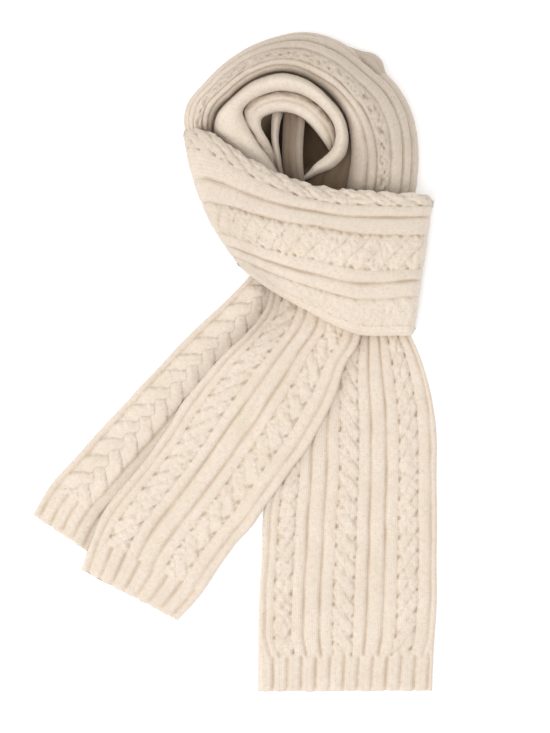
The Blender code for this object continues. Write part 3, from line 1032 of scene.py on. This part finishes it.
front_band = knitted_coil(
    "front_band_knit",
    FRONT_BAND,
    BAND_LINES,
    97,
    gain=1.15,
    dim=((0.15, 0.12, 0.15), (0, 0, 0.12), (0, 0, 0), (0, 0, 0)),
    start_roll=28.0,
    finish_roll=15.0,
    corners=(14.0, 12.0, 8.0, 14.0),
)

# %% [markdown]
# ## The layers inside the coil
#
# Under the turns lies the rest of the wound strip. Only slivers of it show, at the bottom of the
# gaps and of the hollow, so it takes the shape of its CAD solid. The solid is a mesh of loose
# triangles: they are merged first, and then subdivided until they look soft.

# %% Soften a copy of the hidden layers
SMOOTH_ABOVE = 0.002  # metres: what lies lower stays flat on the table
SMOOTH_TIMES = 6


def softened_copy(name, node, cuts):
    """A copy of a CAD node, merged, cut finer and smoothed above its flat underside."""
    source = bpy.data.objects[node]
    builder = bmesh.new()
    builder.from_mesh(source.data)
    bmesh.ops.remove_doubles(builder, verts=builder.verts, dist=1e-6)
    mesh = bpy.data.meshes.new(name)
    builder.to_mesh(mesh)
    builder.free()
    piece = bpy.data.objects.new(name, mesh)
    bpy.context.scene.collection.objects.link(piece)
    modifier = piece.modifiers.new("Soft", "SUBSURF")
    modifier.subdivision_type = "SIMPLE"
    modifier.levels = cuts
    modifier.render_levels = cuts
    graph = bpy.context.evaluated_depsgraph_get()
    plain = bpy.data.meshes.new_from_object(piece.evaluated_get(graph))
    piece.modifiers.clear()
    piece.data = plain
    plain.name = name
    smooth = bmesh.new()
    smooth.from_mesh(plain)
    every_way = {"use_axis_x": True, "use_axis_y": True, "use_axis_z": True}
    for _ in range(SMOOTH_TIMES):
        above = [vert for vert in smooth.verts if vert.co.z > SMOOTH_ABOVE]
        bmesh.ops.smooth_vert(smooth, verts=above, factor=0.5, **every_way)
    smooth.to_mesh(plain)
    smooth.free()
    plain.shade_smooth()
    return piece


inner_layers = softened_copy("inner_layers_knit", "hidden_layers", 2)
print("inner layers", len(inner_layers.data.polygons), "faces")

# %% [markdown]
# ## How much light each point gets
#
# Light that enters a deep fold bounces from wool to wool and comes out warm and brown. A map of
# all the heights tells how high the horizon stands around each point, in a ring of directions. A
# point with less than a third of its sky closed is only at the side of something, so it stays
# light. Beyond that the `shade` attribute grows, on top of the dimness listed for some turns.

# %% Measure the horizon and add it to the shade
MAP_CELL = 0.0015
MAP_SIDE = 0.9
HOLLOW = (78, 280)  # middle of the hollow that is open to the depth of the coil
HOLLOW_RADII = (48, 45)
HORIZON_STEPS = (0.003, 0.007, 0.013, 0.022, 0.034)
OPEN_SHARE = 0.30  # with less of its sky hidden than this, wool stays light
SHADE_RANGE = 0.62
MOST_SHADE = 0.35


def points_of(piece):
    points = np.empty(len(piece.data.vertices) * 3)
    piece.data.vertices.foreach_get("co", points)
    return points.reshape(-1, 3)


def map_spots(x, y):
    cells = int(MAP_SIDE / MAP_CELL)
    return (
        np.clip(((y + MAP_SIDE / 2) / MAP_CELL).astype(int), 0, cells - 1),
        np.clip(((x + MAP_SIDE / 2) / MAP_CELL).astype(int), 0, cells - 1),
    )


def closed_sky(points, heights, directions=12):
    """Share of the sky that higher cloth hides from each point."""
    hidden = np.zeros(len(points))
    for k in range(directions):
        angle = 2 * math.pi * (k + 0.5) / directions
        steepest = np.zeros(len(points))
        for step in HORIZON_STEPS:
            x = points[:, 0] + step * math.cos(angle)
            y = points[:, 1] + step * math.sin(angle)
            spot = map_spots(x, y)
            steepest = np.maximum(steepest, (heights[spot] - points[:, 2]) / step)
        hidden += steepest / np.sqrt(1 + steepest**2)
    return hidden / directions


def height_map(pieces):
    """The height of the highest cloth in each cell of a map of the table."""
    cells = int(MAP_SIDE / MAP_CELL)
    heights = np.zeros((cells, cells))
    for piece in pieces:
        points = points_of(piece)
        np.maximum.at(heights, map_spots(points[:, 0], points[:, 1]), points[:, 2])
    return soften(heights, 1)


def shade_by_horizon(pieces, heights):
    for piece in pieces:
        hidden = closed_sky(points_of(piece), heights)
        data = piece.data.attributes["shade"].data
        shade = np.empty(len(data), np.float32)
        data.foreach_get("value", shade)
        sunk = MOST_SHADE * np.clip((hidden - OPEN_SHARE) / SHADE_RANGE, 0, 1) ** 1.1
        shade = 1 - (1 - np.clip(shade, 0, 1)) * (1 - sunk)
        data.foreach_set("value", shade.astype(np.float32))
        print(piece.name, "mean shade", round(float(shade.mean()), 3))


inner_layers.data.attributes.new("cavity", "FLOAT", "POINT")
# Painted shade in the hollow: full at its middle, fading out past its rim.
inner_shade = inner_layers.data.attributes.new("shade", "FLOAT", "POINT")
spots = points_of(inner_layers) / MM + (*ORIGIN, 0.0)
from_hollow = np.hypot(*((spots[:, :2] - HOLLOW) / HOLLOW_RADII).T)
inner_shade.data.foreach_set("value", ease(2.2 - 1.6 * from_hollow).astype(np.float32))
knitted = (
    right_tail, left_under, left_front, outer_turn, turn_corner, middle_turn, inner_turn,
    fold_left, fold_right, lower_fold, front_band,
)
coiled = (outer_turn, turn_corner, middle_turn, inner_turn, fold_left, fold_right, lower_fold)
shade_by_horizon(coiled, height_map((*knitted, inner_layers)))

# %% [markdown]
# ## Brushed wool
#
# The yarn is cream, but never one flat cream: it is spun from fibres a shade apart, it is paler
# where brushing lifts the nap, and it goes warm brown where little light reaches. One node group
# mixes those colours and another draws the knitted V of each stitch from the `cloth` map, in
# metres, so the stitches keep their size on every piece. The soft bloom on wool is its fibres
# catching light at a grazing angle, which is what the Sheen sockets are for.

# %% Node group: the V of a stitch
def new_group(name, ins, outs):
    group = bpy.data.node_groups.new(name, "ShaderNodeTree")
    for title, kind, value in ins:
        socket = group.interface.new_socket(title, in_out="INPUT", socket_type=kind)
        if value is not None:
            socket.default_value = value
    for title, kind in outs:
        group.interface.new_socket(title, in_out="OUTPUT", socket_type=kind)
    start = group.nodes.new("NodeGroupInput")
    end = group.nodes.new("NodeGroupOutput")
    return group, start, end


def add_node(tree, kind, sockets, **settings):
    """A node with its settings, and with a value or a link for each socket named."""
    node = tree.nodes.new(kind)
    for title, value in settings.items():
        setattr(node, title, value)
    for socket, value in sockets.items():
        if isinstance(value, bpy.types.NodeSocket):
            tree.links.new(value, node.inputs[socket])
        else:
            node.inputs[socket].default_value = value
    return node


def math_node(tree, operation, *values):
    node = add_node(tree, "ShaderNodeMath", dict(enumerate(values)), operation=operation)
    return node.outputs[0]


stitch_group, given, result = new_group(
    "knitted_stitches",
    (
        ("Cloth", "NodeSocketVector", None),
        ("Stitch Width", "NodeSocketFloat", STITCH_WIDTH * MM),
        ("Row Height", "NodeSocketFloat", ROW_HEIGHT * MM),
    ),
    (("Height", "NodeSocketFloat"),),
)
g = stitch_group
split = g.nodes.new("ShaderNodeSeparateXYZ")
g.links.new(given.outputs["Cloth"], split.inputs[0])
stitch = math_node(g, "DIVIDE", split.outputs["X"], given.outputs["Stitch Width"])
in_stitch = math_node(g, "FRACT", stitch)
from_middle = math_node(g, "ABSOLUTE", math_node(g, "SUBTRACT", in_stitch, 0.5))
leg = math_node(g, "SINE", math_node(g, "MULTIPLY", from_middle, 2 * math.pi))
row = math_node(g, "DIVIDE", split.outputs["Y"], given.outputs["Row Height"])
slanted = math_node(g, "SUBTRACT", row, math_node(g, "MULTIPLY", from_middle, 1.7))
wave = math_node(g, "SINE", math_node(g, "MULTIPLY", slanted, 2 * math.pi))
lobe = math_node(g, "ADD", math_node(g, "MULTIPLY", wave, 0.5), 0.5)
grown = math_node(g, "ADD", math_node(g, "MULTIPLY", lobe, 0.75), 0.25)
height = math_node(g, "MULTIPLY", leg, grown)
g.links.new(height, result.inputs["Height"])
print(g.name, "has", len(g.nodes), "nodes")

# %% Node group: the colours in the wool
PATCH_SHARE = 0.4  # how far each of these shows, from 0 to 1
FLECK_SHARE = 0.75
SPECK_SHARE = 0.42
# painted shade: how far the deepest grooves are mixed toward Deep
GROOVE_SHADE = 0.5
# painted shade: how far the gaps between the legs of a stitch are mixed toward Deep
STITCH_GAP_SHADE = 0.22

colour_group, given, result = new_group(
    "wool_colours",
    (
        ("Position", "NodeSocketVector", None),
        ("Cavity", "NodeSocketFloat", 0.0),
        ("Shade", "NodeSocketFloat", 0.0),
        ("Stitch", "NodeSocketFloat", 0.5),
        ("Light", "NodeSocketColor", (0.86, 0.77, 0.66, 1)),
        ("Yellow", "NodeSocketColor", (0.83, 0.74, 0.57, 1)),
        ("Pink", "NodeSocketColor", (0.85, 0.725, 0.64, 1)),
        ("Mid", "NodeSocketColor", (0.76, 0.66, 0.54, 1)),
        ("Deep", "NodeSocketColor", (0.46, 0.36, 0.25, 1)),
        ("Dark", "NodeSocketColor", (0.2, 0.14, 0.09, 1)),
    ),
    (("Color", "NodeSocketColor"), ("Nap", "NodeSocketFloat")),
)
g = colour_group


def noise_node(tree, vector, scale, detail, roughness=0.6):
    sockets = {"Vector": vector, "Scale": scale, "Detail": detail, "Roughness": roughness}
    return add_node(tree, "ShaderNodeTexNoise", sockets).outputs["Fac"]


def mix_colours(tree, factor, first, second):
    sockets = {0: factor, 6: first, 7: second}
    return add_node(tree, "ShaderNodeMix", sockets, data_type="RGBA").outputs[2]


def ranged(tree, value, low, high, to_low=0.0, to_high=1.0):
    ends = {"From Min": low, "From Max": high, "To Min": to_low, "To Max": to_high}
    return add_node(tree, "ShaderNodeMapRange", {"Value": value, **ends}).outputs["Result"]


place = given.outputs["Position"]
light, mid, deep = given.outputs["Light"], given.outputs["Mid"], given.outputs["Deep"]
tints = noise_node(g, place, 48, 2)
yellow = mix_colours(g, ranged(g, tints, 0.55, 0.72, 0.0, 0.55), light, given.outputs["Yellow"])
tinted = mix_colours(g, ranged(g, tints, 0.47, 0.3, 0.0, 0.5), yellow, given.outputs["Pink"])
patches = ranged(g, noise_node(g, place, 22, 3), 0.35, 0.68)
flecks = ranged(g, noise_node(g, place, 210, 5, 0.8), 0.42, 0.66)
blend = mix_colours(g, math_node(g, "MULTIPLY", patches, PATCH_SHARE), tinted, mid)
blend = mix_colours(g, math_node(g, "MULTIPLY", flecks, FLECK_SHARE), blend, mid)
specks = ranged(g, noise_node(g, place, 300, 3, 0.8), 0.56, 0.72)
blend = mix_colours(g, math_node(g, "MULTIPLY", specks, SPECK_SHARE), blend, deep)
# Painted shade in the grooves, growing with their cavity depth.
sunk = ranged(g, given.outputs["Cavity"], -0.2, -1.8)
blend = mix_colours(g, math_node(g, "MULTIPLY", sunk, GROOVE_SHADE), blend, deep)
# Painted shade in the gaps where the legs of a stitch part.
legs_apart = ranged(g, given.outputs["Stitch"], 0.35, 0.0)
blend = mix_colours(g, math_node(g, "MULTIPLY", legs_apart, STITCH_GAP_SHADE), blend, deep)
shaded = ranged(g, given.outputs["Shade"], 0.0, 1.0)
blend = mix_colours(g, shaded, blend, given.outputs["Dark"])
g.links.new(blend, result.inputs["Color"])
g.links.new(noise_node(g, place, 900, 3, 0.8), result.inputs["Nap"])
print(g.name, "has", len(g.nodes), "nodes")

# %% The wool material
STITCH_DEPTH = 0.6
YARN_RELIEF = 0.7 * MM
NAP_DEPTH = 0.5
WOOL_SURFACE = {
    "Roughness": 0.92,
    "Specular IOR Level": 0.18,
    "Sheen Weight": 0.35,
    "Sheen Roughness": 0.45,
    "Sheen Tint": (1.0, 0.95, 0.88, 1),
}


def attribute_node(tree, name):
    return add_node(tree, "ShaderNodeAttribute", {}, attribute_name=name).outputs["Fac"]


def wool(name, light, mid, deep, dark):
    """A knitted wool from its colour in the light down to its colour in a deep fold."""
    material = bpy.data.materials.new(name)
    material.use_nodes = True
    tree = material.node_tree
    shader = tree.nodes["Principled BSDF"]
    for title, value in WOOL_SURFACE.items():
        shader.inputs[title].default_value = value
    cloth_map = add_node(tree, "ShaderNodeUVMap", {}, uv_map="cloth").outputs["UV"]
    stitch = {"Cloth": cloth_map}
    height = add_node(tree, "ShaderNodeGroup", stitch, node_tree=stitch_group).outputs["Height"]
    given = {
        "Position": tree.nodes.new("ShaderNodeTexCoord").outputs["Object"],
        "Cavity": attribute_node(tree, "cavity"),
        "Shade": attribute_node(tree, "shade"),
        "Stitch": height,
        "Light": (*light, 1),
        "Mid": (*mid, 1),
        "Deep": (*deep, 1),
        "Dark": (*dark, 1),
    }
    colours = add_node(tree, "ShaderNodeGroup", given, node_tree=colour_group).outputs
    tree.links.new(colours["Color"], shader.inputs["Base Color"])
    relief = math_node(tree, "ADD", height, math_node(tree, "MULTIPLY", colours["Nap"], NAP_DEPTH))
    bumps = {"Strength": STITCH_DEPTH, "Distance": YARN_RELIEF, "Height": relief}
    bump = add_node(tree, "ShaderNodeBump", bumps)
    tree.links.new(bump.outputs["Normal"], shader.inputs["Normal"])
    return material


cream_wool = wool(
    "cream_wool",
    light=(0.865, 0.757, 0.652),
    mid=(0.73, 0.62, 0.505),
    deep=(0.48, 0.37, 0.25),
    dark=(0.145, 0.097, 0.06),
)
# Painted shade: the inner layers lie deep in the coil, so their wool is a darker, browner copy of the
# cream wool.
hollow_wool = wool(
    "hollow_wool",
    light=(0.80, 0.66, 0.50),
    mid=(0.66, 0.54, 0.40),
    deep=(0.36, 0.27, 0.17),
    dark=(0.085, 0.055, 0.032),
)
inner_layers.data.materials.clear()
inner_layers.data.materials.append(hollow_wool)
for piece in knitted:
    piece.data.materials.append(cream_wool)
print("materials", cream_wool.name, "on", len(knitted), "pieces and", hollow_wool.name, "inside")

# %% [markdown]
# ## Loose fibres
#
# Brushed wool is never clean at its edge: single fibres stand off it and blur its outline. They
# are scattered by Geometry Nodes, because they follow the surface and no two may match: points are
# spread over a piece, each takes a short bent hair from a small set, turned at random about the
# surface's normal and scaled at random, and the whole is realized into one plain mesh.

# %% Geometry Nodes: scatter bent hairs
HAIR_STEPS = 4
HAIR_RADIUS = 0.16  # for a hair ten units long, which is scaled where it is placed
HAIR_UNITS = 10
HAIR_TILT = 0.9
SHORTEST_HAIR = 0.35
LEAST_UPWARD = 0.15  # a surface that looks up less than this grows no hair


def bent_hair(name, bend, lean):
    """A three-sided hair ten units long, that leans over and curls back."""
    points = []
    for i in range(HAIR_STEPS + 1):
        t = i / HAIR_STEPS
        x = lean * t + bend * math.sin(math.pi * t)
        y = 0.3 * bend * t * t
        z = HAIR_UNITS * t * (1 - 0.35 * lean * t / 4)
        thick = HAIR_RADIUS * (1 - 0.7 * t)
        for turn in (2 * math.pi * k / 3 for k in range(3)):
            points.append((x + thick * math.cos(turn), y + thick * math.sin(turn), z))
    faces = []
    for i in range(HAIR_STEPS):
        for k in range(3):
            a, b = i * 3 + k, i * 3 + (k + 1) % 3
            faces.append((a, b, b + 3, a + 3))
    last = HAIR_STEPS * 3
    faces += [(2, 1, 0), (last, last + 1, last + 2)]
    mesh = bpy.data.meshes.new(name)
    mesh.from_pydata(points, [], faces)
    return bpy.data.objects.new(name, mesh)


def fibre_tree(hairs, material):
    """Node tree: Density and Length in, hairs all over the surface out."""
    tree = bpy.data.node_groups.new("loose_fibres", "GeometryNodeTree")
    kinds = {"Geometry": "Geometry", "Density": "Float", "Length": "Float", "Seed": "Int"}
    for title, kind in kinds.items():
        tree.interface.new_socket(title, in_out="INPUT", socket_type="NodeSocket" + kind)
    tree.interface.new_socket("Geometry", in_out="OUTPUT", socket_type="NodeSocketGeometry")
    given = tree.nodes.new("NodeGroupInput").outputs
    surface = {"Mesh": given["Geometry"], "Density": given["Density"], "Seed": given["Seed"]}
    spots = add_node(tree, "GeometryNodeDistributePointsOnFaces", surface).outputs
    facing = add_node(tree, "ShaderNodeSeparateXYZ", {0: spots["Normal"]}).outputs
    steep = {"A": facing["Z"], "B": LEAST_UPWARD}
    steep = add_node(tree, "FunctionNodeCompare", steep, operation="LESS_THAN").outputs[0]
    thinned = {"Geometry": spots["Points"], "Selection": steep}
    thinned = add_node(tree, "GeometryNodeDeleteGeometry", thinned, domain="POINT").outputs
    many = {"Collection": hairs, "Separate Children": True, "Reset Children": True}
    many = add_node(tree, "GeometryNodeCollectionInfo", many).outputs[0]
    turn = {0: (-HAIR_TILT, -HAIR_TILT, 0.0), 1: (HAIR_TILT, HAIR_TILT, 6.28)}
    turn = add_node(tree, "FunctionNodeRandomValue", turn, data_type="FLOAT_VECTOR").outputs[0]
    tilt = {"Rotation": spots["Rotation"], "Rotate By": turn}
    tilt = add_node(tree, "FunctionNodeRotateRotation", tilt, rotation_space="LOCAL").outputs
    size = {2: SHORTEST_HAIR, 3: 1.0}
    size = add_node(tree, "FunctionNodeRandomValue", size, data_type="FLOAT").outputs[1]
    placed = {
        "Points": thinned["Geometry"],
        "Instance": many,
        "Pick Instance": True,
        "Rotation": tilt["Rotation"],
        "Scale": math_node(tree, "MULTIPLY", size, given["Length"]),
    }
    placed = add_node(tree, "GeometryNodeInstanceOnPoints", placed).outputs["Instances"]
    real = add_node(tree, "GeometryNodeRealizeInstances", {"Geometry": placed}).outputs[0]
    dressed = {"Geometry": real, "Material": material}
    dressed = add_node(tree, "GeometryNodeSetMaterial", dressed).outputs["Geometry"]
    add_node(tree, "NodeGroupOutput", {"Geometry": dressed})
    return tree


HAIR_LENGTH = 4.6 * MM
HAIRS_PER_M2 = 26000.0
TABLE_BEND = 1.0 * MM  # a hair that comes this near the table bends along it
fibre_wool = bpy.data.materials.new("fibre_wool")
fibre_wool.use_nodes = True
fibre_shader = fibre_wool.node_tree.nodes["Principled BSDF"]
fibre_shader.inputs["Base Color"].default_value = (0.86, 0.78, 0.67, 1)
fibre_shader.inputs["Roughness"].default_value = 0.8
fibre_shader.inputs["Sheen Weight"].default_value = 0.3
hairs = bpy.data.collections.new("hairs")
for number, (bend, lean) in enumerate(((1.8, 2.5), (-2.4, 4.0), (3.2, 1.0), (0.8, 5.5))):
    hairs.objects.link(bent_hair("hair_%d" % number, bend, lean))
fibre_nodes = fibre_tree(hairs, fibre_wool)


def fibres_on(piece, seed):
    """The loose fibres of one piece, as one plain mesh."""
    fuzz = bpy.data.objects.new(piece.name.replace("_knit", "_fibres"), piece.data)
    bpy.context.scene.collection.objects.link(fuzz)
    modifier = fuzz.modifiers.new("Fibres", "NODES")
    modifier.node_group = fibre_nodes
    values = {"Density": HAIRS_PER_M2, "Length": HAIR_LENGTH / HAIR_UNITS, "Seed": seed}
    for item in fibre_nodes.interface.items_tree:
        if item.in_out == "INPUT" and item.name in values:
            modifier[item.identifier] = values[item.name]
    graph = bpy.context.evaluated_depsgraph_get()
    mesh = bpy.data.meshes.new_from_object(fuzz.evaluated_get(graph))
    fuzz.modifiers.clear()
    fuzz.data = mesh
    mesh.name = fuzz.name
    points = points_of(fuzz)
    low = points[:, 2] < TABLE_BEND
    points[low, 2] = TABLE_BEND * np.exp(points[low, 2] / TABLE_BEND - 1)
    mesh.vertices.foreach_set("co", points.ravel())
    mesh.update()
    print(fuzz.name, len(mesh.polygons), "faces")
    return fuzz


FUZZY = (right_tail, left_under, left_front, outer_turn, middle_turn, front_band)
fibres = [fibres_on(piece, 5 + number) for number, piece in enumerate(FUZZY)]

# %% [markdown]
# ## Camera, light and floor
#
# The scarf is looked straight down on, from three metres up through a long lens. The light is a
# broad white sky with a large lamp at the lower left, so that the ribs shade softly to the right.

# %% Camera, lamps and floor
CAMERA_PLACE = (0.0499, -0.005, 3.053)  # it looks straight down, a little right of the middle
LENS = 120
SKY_STRENGTH = 0.78
FLOOR_GLOW = 0.22  # keeps the floor pale where little light reaches
FLOOR_DROP = 0.0004

camera_data = bpy.data.cameras.new("camera")
camera_data.lens = LENS
camera_data.sensor_width = 36
camera = bpy.data.objects.new("camera", camera_data)
camera.location = CAMERA_PLACE
bpy.context.scene.collection.objects.link(camera)
bpy.context.scene.camera = camera


def lamp(name, place, aim, size, watts):
    data = bpy.data.lights.new(name, "AREA")
    data.size = size
    data.energy = watts
    lit = bpy.data.objects.new(name, data)
    lit.location = place
    run = [a - b for a, b in zip(aim, place)]
    lit.rotation_euler = (
        math.atan2(math.hypot(run[0], run[1]), -run[2]),
        0,
        math.atan2(run[1], run[0]) - math.pi / 2,
    )
    bpy.context.scene.collection.objects.link(lit)
    return lit


lamp("key", (-1.2, -0.9, 2.0), (0, 0, 0), 2.4, 33)
lamp("fill", (1.2, 0.9, 2.2), (0, 0, 0), 2.4, 8)
world = bpy.data.worlds.new("sky")
world.use_nodes = True
sky = world.node_tree.nodes["Background"]
sky.inputs["Color"].default_value = (1, 1, 1, 1)
sky.inputs["Strength"].default_value = SKY_STRENGTH
bpy.context.scene.world = world
bpy.context.scene.view_settings.view_transform = "Standard"

bpy.ops.mesh.primitive_plane_add(size=12, location=(0, 0, -FLOOR_DROP))
floor = bpy.context.object
floor.name = "floor"
floor_material = bpy.data.materials.new("pale_floor")
floor_material.use_nodes = True
floor_shader = floor_material.node_tree.nodes["Principled BSDF"]
floor_shader.inputs["Base Color"].default_value = (0.96, 0.96, 0.965, 1)
floor_shader.inputs["Roughness"].default_value = 0.9
floor_shader.inputs["Emission Color"].default_value = (1, 1, 1, 1)
floor_shader.inputs["Emission Strength"].default_value = FLOOR_GLOW
floor.data.materials.append(floor_material)
print("camera", round(camera.location.z, 2), "m up, with", len(bpy.data.lights), "lamps")

# %% [markdown]
# ## Hand the pieces to the frame
#
# The scarf has no joint, so every piece rides on its one body. Each piece lists the CAD solids it
# stands for, and those solids are hidden.

# %% Ride and replace
SHEETS = (
    (right_tail, ("right_tail", "right_tail_hem"), "laid"),
    (left_under, ("left_tail_under", "left_tail_under_hem"), "laid"),
    (left_front, ("left_tail_front", "left_tail_front_hem"), "laid"),
    (outer_turn, ("outer_turn",), "folded"),
    (turn_corner, ("turn_corner",), "folded"),
    (middle_turn, ("middle_turn",), "folded"),
    (inner_turn, ("inner_turn",), "folded"),
    (fold_left, ("centre_fold_left",), "folded"),
    (fold_right, ("centre_fold_right",), "folded"),
    (lower_fold, ("lower_fold",), "folded"),
    (front_band, ("front_band",), "folded"),
)
for piece, nodes, held in SHEETS:
    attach(piece, "root")
    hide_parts(*nodes)
for fuzz in fibres:
    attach(fuzz, "root")
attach(inner_layers, "root")
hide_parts("hidden_layers")
